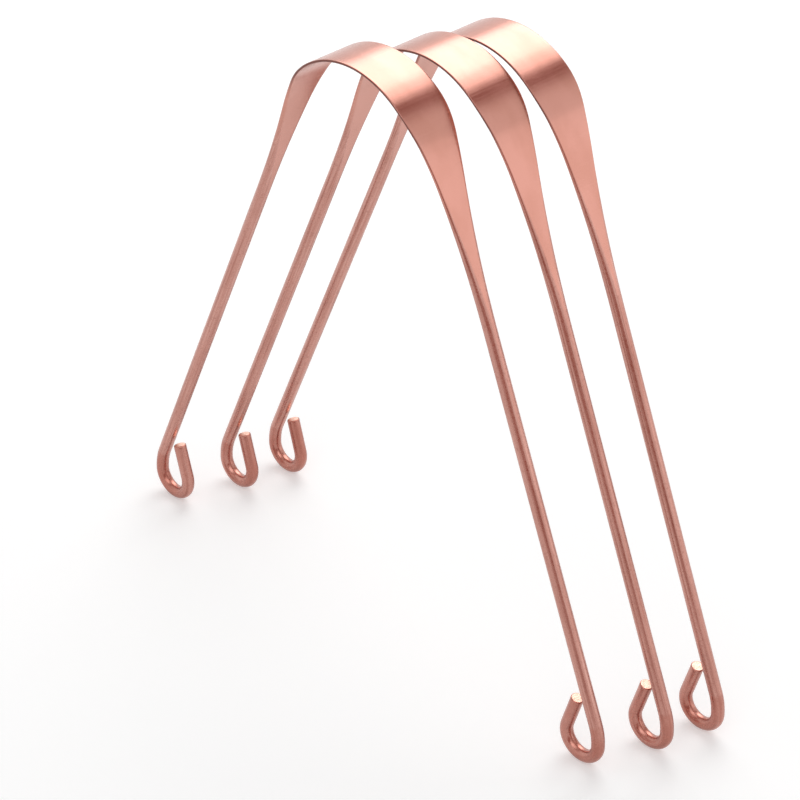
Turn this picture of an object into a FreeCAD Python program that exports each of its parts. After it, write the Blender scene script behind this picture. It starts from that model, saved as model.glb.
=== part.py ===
import FreeCAD, Part
import math
import os

# A row of three copper tongue scrapers that stand arch up, one behind the other.
# Each scraper is one round rod, rolled flat over its middle, bent to a U and curled to an eyelet at both ends.
# Millimetres. X runs across the U, Y along the width of the blade and Z up, with the eyelets on Z = 0.

# Rod and blade
rod_diameter = 3.0
blade_width = 12.4
blade_half_length = 14.0
taper_start = 18.0
taper_ease = 4.0
taper_length = 50.0
flat_end_share = 0.04
taper_station_shares = (0, 0.08, 0.16, 0.26, 0.38, 0.52, 0.68, 0.85)

# Bend of the U, from the crest down
arch_radius = 22.5
arch_turn_share = 0.902
shoulder_radius = 80.0
arm_splay_deg = 22.8
arm_straight = 123.0

# Eyelet at the end of each arm
knee_radius = 14.0
knee_turn_deg = 22.8
eye_radius = 4.7
tail_lean_deg = 40.0
mouth_gap = 0.9
cut_chamfer = 0.25

# Spring of the arms: each bends this far in or out, and the hairline at its flex line leaves room for that
flex_deg = 6.0
flex_room_share = 2.0

# Row: free gaps between the blades' edges and sideways steps from one scraper to the next
front_gap = 2.0
rear_gap = 0.5
front_step = 6.9
rear_step = 3.2

# Worked out from the sizes above
rod_radius = rod_diameter / 2
rod_area = math.pi * rod_radius ** 2
corner_area_share = 1 - math.pi / 4
arm_slope = math.radians(90 - arm_splay_deg)
arch_turn = arch_turn_share * arm_slope
arch_length = arch_radius * arch_turn
shoulder_length = shoulder_radius * (arm_slope - arch_turn)
taper_end = taper_start + taper_length
knee_turn = math.radians(knee_turn_deg)
tail_lean = math.radians(tail_lean_deg)
eye_turn = math.pi + tail_lean - knee_turn

crest = FreeCAD.Vector(0, 0, 0)
across = FreeCAD.Vector(0, 1, 0)


def along(slope):
    """Way that the rod runs where it dips by this angle below level."""
    return FreeCAD.Vector(math.cos(slope), 0, -math.sin(slope))


def inward(slope):
    """Way to the inner side of the bend, square to the rod."""
    return FreeCAD.Vector(-math.sin(slope), 0, -math.cos(slope))


def round_bend(start, slope, turn, radius):
    """Points half way and at the end of a bend towards the inner side."""
    centre = start + inward(slope) * radius
    return [centre - inward(slope + share * turn) * radius for share in (0.5, 1)]


def place(distance):
    """Point on the rod's middle line and its slope, at a distance along the rod from the crest."""
    turn = min(distance, arch_length) / arch_radius
    point = round_bend(crest, 0, turn, arch_radius)[1]
    if distance > arch_length:
        more = min(distance - arch_length, shoulder_length) / shoulder_radius
        point = round_bend(point, turn, more, shoulder_radius)[1]
        turn += more
    past_shoulder = max(distance - arch_length - shoulder_length, 0)
    return point + along(turn) * past_shoulder, turn


def width_at(distance):
    """Width of the rolled rod: full over the blade, then a parabola down to the rod's diameter."""
    run = distance - taper_start
    if run < taper_ease:
        run = max(run + taper_ease, 0) ** 2 / (4 * taper_ease)
    return rod_diameter + (blade_width - rod_diameter) * (1 - run / taper_length) ** 2


def thickness_of(width):
    """Thickness at which flat faces with round edges keep the area of the round rod."""
    root = math.sqrt(width ** 2 - 4 * corner_area_share * rod_area)
    return (width - root) / (2 * corner_area_share)


def rolled_section(distance):
    """Outline with flat faces and round edges, square to the rod."""
    point, slope = place(distance)
    width = width_at(distance)
    thickness = thickness_of(width)
    flat = across * ((width - thickness) / 2)
    edge = across * (width / 2)
    face = inward(slope) * (thickness / 2)
    corners = [point - flat - face, point + flat - face, point + flat + face, point - flat + face]
    lines = [
        Part.LineSegment(corners[0], corners[1]),
        Part.Arc(corners[1], point + edge, corners[2]),
        Part.LineSegment(corners[2], corners[3]),
        Part.Arc(corners[3], point - edge, corners[0]),
    ]
    return Part.Wire([line.toShape() for line in lines])


def round_section(distance):
    """The rod's circle, divided where the narrow ends of the two flats meet it."""
    point, slope = place(distance)
    flat = across * (flat_end_share * rod_radius)
    edge = across * rod_radius
    face = inward(slope) * rod_radius
    rise = inward(slope) * (rod_radius * math.sqrt(1 - flat_end_share ** 2))
    corners = [point - flat - rise, point + flat - rise, point + flat + rise, point - flat + rise]
    middles = [point - face, point + edge, point + face, point - edge]
    ends = corners[1:] + corners[:1]
    return Part.Wire([Part.Arc(*three).toShape() for three in zip(corners, middles, ends)])


blade_thickness = thickness_of(blade_width)
flex_gap = flex_room_share * blade_thickness * math.tan(math.radians(flex_deg) / 2)


def make_blade():
    """Middle of the arch: the flat band that scrapes, turned about the axis of the arch."""
    half_turn = math.degrees((blade_half_length - flex_gap / 2) / arch_radius)
    axis_point = crest + inward(0) * arch_radius
    face = Part.Face(rolled_section(0))
    face.rotate(axis_point, across, -half_turn)
    return face.revolve(axis_point, across, 2 * half_turn)


def make_neck():
    """From the flex line to the round rod: the band narrows and thickens, and its flats run out."""
    start = blade_half_length + flex_gap / 2
    length = taper_end - start
    outlines = [rolled_section(start + share * length) for share in taper_station_shares]
    return Part.makeLoft(outlines + [round_section(taper_end)], True, False)


def make_shank():
    """Round rod below the neck: straight, then the knee, the eyelet's bend and its tail.

    Returns the solid and the lowest height that its skin reaches.
    """
    start, slope = place(taper_end)
    knee_start, slope = place(arch_length + shoulder_length + arm_straight)
    knee_middle, knee_end = round_bend(knee_start, slope, knee_turn, knee_radius)
    eye_start_slope = slope + knee_turn
    eye_middle, eye_end = round_bend(knee_end, eye_start_slope, eye_turn, eye_radius)
    # The tail leans back towards the arm, and the near corner of its cut end stops short of it
    corner_reach = rod_radius * math.cos(tail_lean)
    room = (eye_end - knee_start).dot(inward(slope)) - rod_radius - mouth_gap - corner_reach
    tail_end = eye_end + along(eye_start_slope + eye_turn) * (room / math.sin(tail_lean))
    lines = [
        Part.LineSegment(start, knee_start),
        Part.Arc(knee_start, knee_middle, knee_end),
        Part.Arc(knee_end, eye_middle, eye_end),
        Part.LineSegment(eye_end, tail_end),
    ]
    path = Part.Wire([line.toShape() for line in lines])
    circle = Part.Circle(start, along(slope), rod_radius)
    rod = path.makePipeShell([Part.Wire([circle.toShape()])], True, False)
    rims = [edge for edge in rod.Edges if edge.CenterOfMass.distanceToPoint(tail_end) < cut_chamfer]
    eye_centre = knee_end + inward(eye_start_slope) * eye_radius
    return rod.makeChamfer(cut_chamfer, rims), eye_centre.z - eye_radius - rod_radius


neck = make_neck()
shank, lowest = make_shank()
blade = make_blade()
right_arm = neck.fuse(shank).removeSplitter()
left_arm = right_arm.mirror(crest, FreeCAD.Vector(1, 0, 0))
pieces = {"blade": blade, "left_arm": left_arm, "right_arm": right_arm}

# The row is centred on X and Y, and the blades pass each other by the free gaps
os.makedirs("parts", exist_ok=True)
row_x = [0, front_step, front_step + rear_step]
row_y = [0, blade_width + front_gap, 2 * blade_width + front_gap + rear_gap]
for scraper, x, y in zip(("front", "middle", "rear"), row_x, row_y):
    spot = FreeCAD.Vector(x - row_x[-1] / 2, y - row_y[-1] / 2, -lowest)
    for name, shape in pieces.items():
        shape.translated(spot).exportStep(f"parts/{scraper}_{name}.step")
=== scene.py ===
import math

import bmesh
import bpy
from mathutils import Matrix, Vector


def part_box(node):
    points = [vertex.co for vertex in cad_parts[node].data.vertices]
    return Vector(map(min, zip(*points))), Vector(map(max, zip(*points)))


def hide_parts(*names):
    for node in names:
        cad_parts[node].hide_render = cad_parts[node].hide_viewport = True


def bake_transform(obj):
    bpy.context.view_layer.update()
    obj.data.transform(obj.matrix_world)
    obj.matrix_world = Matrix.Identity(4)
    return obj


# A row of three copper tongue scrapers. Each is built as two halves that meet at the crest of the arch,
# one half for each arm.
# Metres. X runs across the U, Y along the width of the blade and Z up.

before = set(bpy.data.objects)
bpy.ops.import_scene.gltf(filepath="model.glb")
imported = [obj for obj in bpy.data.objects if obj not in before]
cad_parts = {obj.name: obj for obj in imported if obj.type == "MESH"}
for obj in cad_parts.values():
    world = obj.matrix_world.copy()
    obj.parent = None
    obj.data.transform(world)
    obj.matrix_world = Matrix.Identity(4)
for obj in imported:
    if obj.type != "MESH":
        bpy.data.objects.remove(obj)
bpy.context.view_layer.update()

MM = 0.001

# Rod and blade, as in the solids
rod_diameter = 3.0 * MM
blade_width = 12.4 * MM
taper_start = 18.0 * MM
taper_ease = 4.0 * MM
taper_length = 50.0 * MM
arch_radius = 22.5 * MM
arch_turn_share = 0.902
shoulder_radius = 80.0 * MM
arm_splay = math.radians(22.8)
arm_straight = 123.0 * MM
knee_radius = 14.0 * MM
knee_turn = math.radians(22.8)
eye_radius = 4.7 * MM
tail_lean = math.radians(40.0)
mouth_gap = 0.9 * MM
cut_rounding = 0.25 * MM

# The stretch of the half arch that bends when the arm is squeezed
bend_start = 4.0 * MM
bend_end = 24.0 * MM

# Fineness of the meshes: steps in a quarter of the section, and steps along each stretch of the rod
quarter_steps = 12
flat_point_share = 0.55
arch_step = 0.5 * MM
neck_step = 0.8 * MM
rod_step = 3.0 * MM
eye_step = 0.4 * MM
first_step = 0.02 * MM
rim_steps = 5
cut_face_shares = (0.96, 0.6, 0.3)

# Worked out from the sizes above
rod_radius = rod_diameter / 2
rod_area = math.pi * rod_radius ** 2
corner_area_share = 1 - math.pi / 4
arm_slope = math.pi / 2 - arm_splay
arch_turn = arch_turn_share * arm_slope
arch_length = arch_radius * arch_turn
shoulder_length = shoulder_radius * (arm_slope - arch_turn)
taper_end = taper_start + taper_length
neck_length = taper_end - arch_length - shoulder_length
eye_turn = math.pi + tail_lean - knee_turn


# Path of the rod

def along(slope):
    """Way that the rod runs where it dips by this angle below level."""
    return Vector((math.cos(slope), 0, -math.sin(slope)))


def inward(slope):
    """Way to the inner side of the bend, square to the rod."""
    return Vector((-math.sin(slope), 0, -math.cos(slope)))


def walk(stretches, distance):
    """Point and slope at a distance along the rod from the crest.

    A stretch is its length, its bend's radius or None where it is straight, and the step between rings.
    """
    point = Vector((0, 0, 0))
    slope = 0.0
    for length, radius, _ in stretches:
        step = min(distance, length)
        if radius is None:
            point = point + along(slope) * step
        else:
            centre = point + inward(slope) * radius
            slope += step / radius
            point = centre - inward(slope) * radius
        distance -= step
    return point, slope


def rod_stretches():
    """Stretches of one half of the rod, from the crest to the cut end of the eyelet."""
    stretches = [
        (arch_length, arch_radius, arch_step),
        (shoulder_length, shoulder_radius, neck_step),
        (neck_length, None, neck_step),
        (arm_straight - neck_length, None, rod_step),
    ]
    knee_start, slope = walk(stretches, math.inf)
    stretches += [
        (knee_radius * knee_turn, knee_radius, neck_step),
        (eye_radius * eye_turn, eye_radius, eye_step),
    ]
    eye_end, _ = walk(stretches, math.inf)
    # The tail leans back towards the arm, and the near corner of its cut end stops short of it
    corner_reach = rod_radius * math.cos(tail_lean)
    room = (eye_end - knee_start).dot(inward(slope)) - rod_radius - mouth_gap - corner_reach
    return stretches + [(room / math.sin(tail_lean), None, neck_step)]


stretches = rod_stretches()
rod_end = sum(length for length, _, _ in stretches)
eyelet_start = arch_length + shoulder_length + arm_straight


def ring_places():
    """Distances from the crest at which the mesh has a ring, up to the rim of the cut end."""
    places = [0.0, first_step]
    start = 0.0
    for length, _, step in stretches:
        count = math.ceil(length / step)
        places += [start + length * k / count for k in range(1, count + 1)]
        start += length
    return [place for place in places if place < rod_end - cut_rounding] + [rod_end - cut_rounding]


# Section of the rod

def width_at(distance):
    """Width of the rolled rod: full over the blade, then a parabola down to the rod's diameter."""
    run = min(distance - taper_start, taper_length)
    if run < taper_ease:
        run = max(run + taper_ease, 0) ** 2 / (4 * taper_ease)
    return rod_diameter + (blade_width - rod_diameter) * (1 - run / taper_length) ** 2


def thickness_of(width):
    """Thickness at which flat faces with round edges keep the area of the round rod."""
    root = math.sqrt(max(width ** 2 - 4 * corner_area_share * rod_area, 0))
    return (width - root) / (2 * corner_area_share)


def section_points(distance):
    """Points round the section: offset across, offset out of the bend, and depth inside the flat.

    The depth is below zero on the round edge. The points even out where the flat runs out into the rod.
    """
    width = width_at(distance)
    radius = thickness_of(width) / 2
    flat = width / 2 - radius
    flat_share = flat_point_share * flat / (flat + radius * math.pi / 2)
    points = []
    for index in range(4 * quarter_steps):
        quarter, step = divmod(index, quarter_steps)
        share = (quarter_steps - step if quarter % 2 else step) / quarter_steps
        sign_across = 1 if quarter < 2 else -1
        sign_out = 1 if quarter in (0, 3) else -1
        if share < flat_share:
            y = flat * share / flat_share
            points.append((sign_across * y, sign_out * radius, flat - y))
        else:
            angle = math.pi / 2 * (share - flat_share) / (1 - flat_share)
            y = flat + radius * math.sin(angle)
            points.append((sign_across * y, sign_out * radius * math.cos(angle), -radius * angle))
    return points


def rings():
    """Rings of the half, each as (distance, scale of the section). The last ones close the cut end."""
    made = [(place, 1.0) for place in ring_places()]
    for k in range(1, rim_steps + 1):
        angle = math.pi / 2 * k / rim_steps
        place = rod_end - cut_rounding * (1 - math.sin(angle))
        made.append((place, 1 - cut_rounding / rod_radius * (1 - math.cos(angle))))
    face_scale = made[-1][1]
    return made + [(rod_end, face_scale * share) for share in cut_face_shares]


# Meshes

def crest_of(scraper):
    """Crest of a scraper's middle line, from the box of its blade."""
    low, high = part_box(f"{scraper}_blade")
    thickness = thickness_of(blade_width)
    return Vector(((low.x + high.x) / 2, (low.y + high.y) / 2, high.z - thickness / 2))


def half_mesh(name, crest, side, texture_start):
    """Mesh of one half. Side is 1 for the right arm and -1 for the left one.

    Two vector attributes tell the material where it is. "straight" is the place along, across and out
    of the rod, as if it were straight. "surface" is the depth inside a flat in millimetres, how far the
    rod is rolled to the blade's width, and 1 in the eyelet.
    """
    made = bmesh.new()
    straight = made.verts.layers.float_vector.new("straight")
    surface = made.verts.layers.float_vector.new("surface")

    def add_point(distance, y, out, inside):
        middle, slope = walk(stretches, distance)
        point = middle - inward(slope) * out
        vert = made.verts.new((crest.x + side * point.x, crest.y + y, crest.z + point.z))
        rolled = (width_at(distance) - rod_diameter) / (blade_width - rod_diameter)
        vert[straight] = (texture_start + side * distance, y, out)
        vert[surface] = (inside / MM, rolled, 1.0 if distance > eyelet_start else 0.0)
        return vert

    loops = []
    for distance, scale in rings():
        points = section_points(distance)
        loops.append([add_point(distance, y * scale, out * scale, inside) for y, out, inside in points])
    cut_loops = len(cut_face_shares)
    for number, (loop, after) in enumerate(zip(loops, loops[1:])):
        for k in range(len(loop)):
            following = (k + 1) % len(loop)
            face = made.faces.new((loop[k], loop[following], after[following], after[k]))
            face.smooth = True
            face.material_index = 1 if number >= len(loops) - 1 - cut_loops else 0
    middle = add_point(rod_end, 0, 0, 0)
    last = loops[-1]
    for k in range(len(last)):
        face = made.faces.new((last[k], last[(k + 1) % len(last)], middle))
        face.smooth = True
        face.material_index = 1
    # The two halves meet at the crest, so its end is closed by a face that shades by itself
    crest_face = made.faces.new(loops[0])
    for edge in crest_face.edges:
        edge.smooth = False
    bmesh.ops.recalc_face_normals(made, faces=made.faces)
    mesh = bpy.data.meshes.new(name)
    made.to_mesh(mesh)
    made.free()
    return mesh


# Materials

def colour(red, green, blue):
    """Linear colour of an sRGB one given in steps of 0 to 255."""
    return tuple(
        share / 12.92 if share <= 0.04045 else ((share + 0.055) / 1.055) ** 2.4
        for share in (red / 255, green / 255, blue / 255)
    ) + (1.0,)


def node(tree, kind, values=None, **settings):
    """A shader node with its settings, and its inputs set to values or linked to other outputs."""
    made = tree.nodes.new("ShaderNode" + kind)
    for name, value in settings.items():
        setattr(made, name, value)
    for key, value in (values or {}).items():
        if isinstance(value, bpy.types.NodeSocket):
            tree.links.new(value, made.inputs[key])
        else:
            made.inputs[key].default_value = value
    return made


def mix_colour(tree, share, first, second):
    """Output of a mix of two colours. The colour inputs of the node are number 6 and 7."""
    return node(tree, "Mix", {0: share, 6: first, 7: second}, data_type="RGBA").outputs[2]


def mix_value(tree, share, first, second):
    """Output of a mix of two numbers."""
    return node(tree, "Mix", {0: share, 2: first, 3: second}, data_type="FLOAT").outputs[0]


def ramp(tree, value, low, high, to_low=0.0, to_high=1.0):
    """Output that goes smoothly from one number to another while the value goes from low to high."""
    values = {"Value": value, "From Min": low, "From Max": high, "To Min": to_low, "To Max": to_high}
    return node(tree, "MapRange", values, interpolation_type="SMOOTHSTEP").outputs["Result"]


def noise(tree, place, scale, detail, roughness=0.5):
    """Noise with its own scale along, across and out of the rod, in waves per metre."""
    stretched = node(tree, "VectorMath", {0: place, 1: scale}, operation="MULTIPLY").outputs["Vector"]
    values = {"Vector": stretched, "Scale": 1.0, "Detail": detail, "Roughness": roughness}
    return node(tree, "TexNoise", values).outputs["Fac"]


def multiply(tree, first, second):
    """Output of the product of two numbers."""
    return node(tree, "Math", {0: first, 1: second}, operation="MULTIPLY").outputs["Value"]


def new_material(name):
    """A material, its node tree and its shader node."""
    material = bpy.data.materials.new(name)
    material.use_nodes = True
    return material, material.node_tree, material.node_tree.nodes["Principled BSDF"]


# Patterns of the copper, in waves per metre along, across and out of the rod
brushed_waves = (2600, 60, 60)
drawn_waves = (40, 2300, 2300)
cloud_waves = (70, 130, 130)
grain_waves = (1500, 1500, 1500)
shear_waves = (500, 500, 5200)
torn_waves = (2600, 2600, 2600)

# Tones of the copper
rod_light = colour(195, 142, 130)
rod_dull = colour(185, 132, 120)
drawn_light = colour(212, 164, 152)
drawn_dark = colour(164, 108, 96)
grain_dark = colour(156, 98, 86)
eyelet_red = colour(174, 108, 94)
band_light = colour(204, 146, 132)
band_dull = colour(196, 138, 123)
brushed_light = colour(212, 158, 144)
# Painted shade for the blade's round edges
painted_edge_shade = colour(128, 84, 76)
sheen_tint = colour(255, 238, 232)
cut_light = colour(250, 214, 196)
cut_dull = colour(236, 178, 156)
torn_dark = colour(208, 138, 116)

# Finish of the copper
edge_roughness = 0.45
sheen_weight = 0.35
sheen_roughness = 0.35
grain_in_relief = 0.15
relief_strength = 0.05
relief_depth = 0.03 * MM
torn_in_relief = 0.5
cut_relief_strength = 0.5
cut_relief_depth = 0.06 * MM


def make_copper():
    """Copper rod: drawn, dull red where it is round, and rolled, brushed and paler on the flats."""
    material, tree, shader = new_material("rolled_copper")
    place = node(tree, "Attribute", attribute_name="straight").outputs["Vector"]
    surface = node(tree, "Attribute", attribute_name="surface").outputs["Vector"]
    inside, rolled, eyelet = node(tree, "SeparateXYZ", {"Vector": surface}).outputs

    brushed = noise(tree, place, brushed_waves, 3, 0.55)
    drawn = noise(tree, place, drawn_waves, 3, 0.6)
    cloud = noise(tree, place, cloud_waves, 4, 0.55)
    grain = noise(tree, place, grain_waves, 2, 0.6)

    # The rolled flats, and over the blade its thin round edges too
    flat = ramp(tree, inside, 0.02, 0.16)
    band = mix_value(tree, ramp(tree, rolled, 0.15, 0.5), flat, 1.0)

    # The round rod: clouds, light and dark drawing lines, grain, and a redder tone in the eyelet
    rod_colour = mix_colour(tree, ramp(tree, cloud, 0.4, 0.75), rod_light, rod_dull)
    rod_colour = mix_colour(tree, ramp(tree, drawn, 0.5, 0.72, 0, 0.7), rod_colour, drawn_light)
    rod_colour = mix_colour(tree, ramp(tree, drawn, 0.48, 0.3, 0, 0.65), rod_colour, drawn_dark)
    rod_colour = mix_colour(tree, ramp(tree, grain, 0.55, 0.75, 0, 0.4), rod_colour, grain_dark)
    eyelet_share = multiply(tree, eyelet, ramp(tree, cloud, 0.35, 0.65, 0.25, 0.7))
    rod_colour = mix_colour(tree, eyelet_share, rod_colour, eyelet_red)

    # The flats: clouds and light lines of brushing
    band_colour = mix_colour(tree, ramp(tree, cloud, 0.35, 0.7), band_light, band_dull)
    band_colour = mix_colour(tree, ramp(tree, brushed, 0.5, 0.8, 0, 0.25), band_colour, brushed_light)
    base = mix_colour(tree, band, rod_colour, band_colour)

    # The blade's round edges are rougher, and their colour is darkened with painted shade
    edge = multiply(tree, ramp(tree, rolled, 0.6, 0.95), ramp(tree, inside, -0.05, -0.25))
    base = mix_colour(tree, edge, base, painted_edge_shade)

    band_roughness = ramp(tree, brushed, 0.3, 0.7, 0.21, 0.27)
    rod_roughness = ramp(tree, grain, 0.3, 0.7, 0.24, 0.34)
    roughness = mix_value(tree, band, rod_roughness, band_roughness)
    roughness = mix_value(tree, edge, roughness, edge_roughness)

    rod_height = mix_value(tree, grain_in_relief, drawn, grain)
    height = mix_value(tree, band, rod_height, brushed)
    relief = {"Height": height, "Strength": relief_strength, "Distance": relief_depth}
    bump = node(tree, "Bump", relief)

    tree.links.new(base, shader.inputs["Base Color"])
    tree.links.new(roughness, shader.inputs["Roughness"])
    tree.links.new(bump.outputs["Normal"], shader.inputs["Normal"])
    shader.inputs["Metallic"].default_value = 1.0
    shader.inputs["Sheen Weight"].default_value = sheen_weight
    shader.inputs["Sheen Roughness"].default_value = sheen_roughness
    shader.inputs["Sheen Tint"].default_value = sheen_tint
    return material


def make_cut_copper():
    """Bright raw copper of the sheared ends, with the lines that the blade of the shears left."""
    material, tree, shader = new_material("cut_copper")
    place = node(tree, "Attribute", attribute_name="straight").outputs["Vector"]
    lines = noise(tree, place, shear_waves, 3, 0.65)
    torn = noise(tree, place, torn_waves, 4, 0.7)
    base = mix_colour(tree, ramp(tree, lines, 0.35, 0.7), cut_light, cut_dull)
    base = mix_colour(tree, ramp(tree, torn, 0.55, 0.75, 0, 0.5), base, torn_dark)
    height = mix_value(tree, torn_in_relief, lines, torn)
    relief = {"Height": height, "Strength": cut_relief_strength, "Distance": cut_relief_depth}
    bump = node(tree, "Bump", relief)
    tree.links.new(base, shader.inputs["Base Color"])
    tree.links.new(ramp(tree, torn, 0.3, 0.7, 0.3, 0.5), shader.inputs["Roughness"])
    tree.links.new(bump.outputs["Normal"], shader.inputs["Normal"])
    shader.inputs["Metallic"].default_value = 1.0
    return material


# Scrapers

copper = make_copper()
cut_copper = make_cut_copper()
# Each scraper takes its patterns from another stretch, this far along
texture_pitch = 1.0
for number, scraper in enumerate(("front", "middle", "rear")):
    crest = crest_of(scraper)
    for side_name, side in (("left", -1), ("right", 1)):
        name = f"{scraper}_{side_name}_half"
        half = bpy.data.objects.new(name, half_mesh(name, crest, side, number * texture_pitch))
        bpy.context.scene.collection.objects.link(half)
        half.data.materials.append(copper)
        half.data.materials.append(cut_copper)
        for distance in (bend_start, bend_end):
            point, _ = walk(stretches, distance)
        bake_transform(half)
        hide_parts(f"{scraper}_blade", f"{scraper}_{side_name}_arm")


# Stage

white = (1, 1, 1, 1)
upright = (0, 0, 1)
arch_middle = crest_of("middle")
ambient_level = 0.40

# The floor is lifted to white where it is seen, and more so where less of the lamps' light reaches it
floor_size = 6.0
floor_colour = (0.8, 0.8, 0.8, 1)
floor_lift = 0.36
far_floor_lift = 0.70
near_floor = 0.5
far_floor = 1.5

# Cards that only reflections see: two that fade to white, and an even one below the camera
card_distance = 0.6
card_width = 0.46
card_height = 0.7
card_tone = colour(142, 72, 62)
fade_start = 0.08
fade_end = 0.58
low_card_distance = 0.45
low_card_width = 0.44
low_card_height = 0.24
low_card_tone = colour(182, 130, 119)


def seen_share(tree):
    """1 for rays that see the white background, from the camera or by way of metal or glass, else 0."""
    path = node(tree, "LightPath").outputs
    seen = node(tree, "Math", {0: path["Is Camera Ray"], 1: path["Is Glossy Ray"]}, operation="ADD")
    values = {0: seen.outputs["Value"], 1: path["Is Transmission Ray"]}
    return node(tree, "Math", values, operation="ADD", use_clamp=True).outputs["Value"]


def make_world():
    """White room: white where it is seen, with a plain level of light from all round."""
    world = bpy.data.worlds.new("white_room")
    bpy.context.scene.world = world
    world.use_nodes = True
    tree = world.node_tree
    background = tree.nodes["Background"]
    background.inputs["Color"].default_value = white
    tree.links.new(mix_value(tree, seen_share(tree), ambient_level, 1.0), background.inputs["Strength"])


def flat_sheet(name, width, height):
    """A plain rectangle about its own origin, facing its own Z."""
    mesh = bpy.data.meshes.new(name)
    corners = [(-width / 2, -height / 2, 0), (width / 2, -height / 2, 0),
               (width / 2, height / 2, 0), (-width / 2, height / 2, 0)]
    mesh.from_pydata(corners, [], [(0, 1, 2, 3)])
    made = bpy.data.objects.new(name, mesh)
    bpy.context.scene.collection.objects.link(made)
    return made


def make_floor():
    """Pale floor, lifted to white where it is seen, with the shadows that fall on it."""
    floor = flat_sheet("floor", floor_size, floor_size)
    material, tree, shader = new_material("pale_floor")
    shader.inputs["Base Color"].default_value = floor_colour
    shader.inputs["Roughness"].default_value = 1.0
    shader.inputs["Specular IOR Level"].default_value = 0.0
    shader.inputs["Emission Color"].default_value = white
    place = node(tree, "NewGeometry").outputs["Position"]
    reach = node(tree, "VectorMath", {0: place}, operation="LENGTH").outputs["Value"]
    lift = ramp(tree, reach, near_floor, far_floor, floor_lift, far_floor_lift)
    tree.links.new(multiply(tree, seen_share(tree), lift), shader.inputs["Emission Strength"])
    floor.data.materials.append(material)


def facing(direction, distance, up):
    """Place at a distance and in a direction from the arch. Z points away from it, and Y towards up."""
    back = Vector(direction).normalized()
    side = Vector(up).cross(back).normalized()
    turn = Matrix((side, back.cross(side), back)).transposed().to_4x4()
    return Matrix.Translation(arch_middle + back * distance) @ turn


def make_softbox(name, direction, distance, width, height, radiance):
    """A rectangular lamp that faces the arch."""
    lamp = bpy.data.lights.new(name, "AREA")
    lamp.shape = "RECTANGLE"
    lamp.size = width
    lamp.size_y = height
    lamp.energy = radiance * math.pi * width * height
    made = bpy.data.objects.new(name, lamp)
    bpy.context.scene.collection.objects.link(made)
    made.matrix_world = facing(direction, distance, upright)
    made.visible_camera = False


def make_card(name, spot, width, height, tone, fades):
    """A card that only reflections show. It is even, or fades to white along its own X."""
    card = flat_sheet(name, width, height)
    card.matrix_world = spot
    material, tree, _ = new_material(f"{name}_shade")
    tree.nodes.clear()
    shade = tone
    if fades:
        place = node(tree, "TexCoord").outputs["Generated"]
        run = node(tree, "SeparateXYZ", {"Vector": place}).outputs["X"]
        shade = mix_colour(tree, ramp(tree, run, fade_start, fade_end), tone, white)
    glow = node(tree, "Emission", {"Color": shade, "Strength": 1.0})
    output = node(tree, "OutputMaterial")
    tree.links.new(glow.outputs["Emission"], output.inputs["Surface"])
    card.data.materials.append(material)
    card.visible_camera = False
    card.visible_diffuse = False
    card.visible_shadow = False


make_world()
make_floor()
ceiling_spot = facing((0.54, 0.58, 0.61), card_distance, (0, 1, 0))
front_spot = facing((-0.54, -0.58, 0.61), card_distance, (0, -1, 0))
camera_spot = facing((0.70, -0.70, -0.1), low_card_distance, upright)
make_softbox("key", (-0.41, 0.58, 0.70), distance=0.9, width=1.0, height=0.8, radiance=1.3)
make_softbox("key_core", (-0.37, 0.58, 0.725), distance=0.88, width=0.5, height=0.8, radiance=1.4)
make_softbox("back", (0.76, 0.64, 0.06), distance=0.9, width=0.9, height=0.45, radiance=0.36)
make_card("ceiling_card", ceiling_spot, card_width, card_height, card_tone, fades=True)
make_softbox("fill", (0.41, -0.58, 0.70), distance=0.9, width=0.6, height=0.8, radiance=0.9)
make_card("front_card", front_spot, card_width, card_height, card_tone, fades=True)
make_card("camera_card", camera_spot, low_card_width, low_card_height, low_card_tone, fades=False)


# Camera

camera_azimuth = math.radians(45.9)
camera_elevation = math.radians(33.47)
camera_roll = math.radians(0.84)
camera_distance = 695.8 * MM
crest_right = 9.6 * MM
crest_above = 72.8 * MM
image_width = 800
focal_pixels = 3362.0
sensor_width = 36.0
near_clip = 0.01


def make_camera():
    """Camera at the photograph's angle, with the middle scraper's crest at its place in the picture."""
    back = Vector((
        math.sin(camera_azimuth) * math.cos(camera_elevation),
        -math.cos(camera_azimuth) * math.cos(camera_elevation),
        math.sin(camera_elevation),
    ))
    right = Vector((math.cos(camera_azimuth), math.sin(camera_azimuth), 0))
    up = back.cross(right)
    rolled_right = math.cos(camera_roll) * right + math.sin(camera_roll) * up
    rolled_up = -math.sin(camera_roll) * right + math.cos(camera_roll) * up
    place = arch_middle - crest_right * rolled_right - crest_above * rolled_up + camera_distance * back
    lens = bpy.data.cameras.new("camera")
    lens.sensor_width = sensor_width
    lens.lens = focal_pixels / image_width * sensor_width
    lens.clip_start = near_clip
    camera = bpy.data.objects.new("camera", lens)
    bpy.context.scene.collection.objects.link(camera)
    turn = Matrix((rolled_right, rolled_up, back)).transposed().to_4x4()
    camera.matrix_world = Matrix.Translation(place) @ turn
    bpy.context.scene.camera = camera


make_camera()
bpy.context.scene.view_settings.view_transform = "Standard"

bpy.context.view_layer.update()
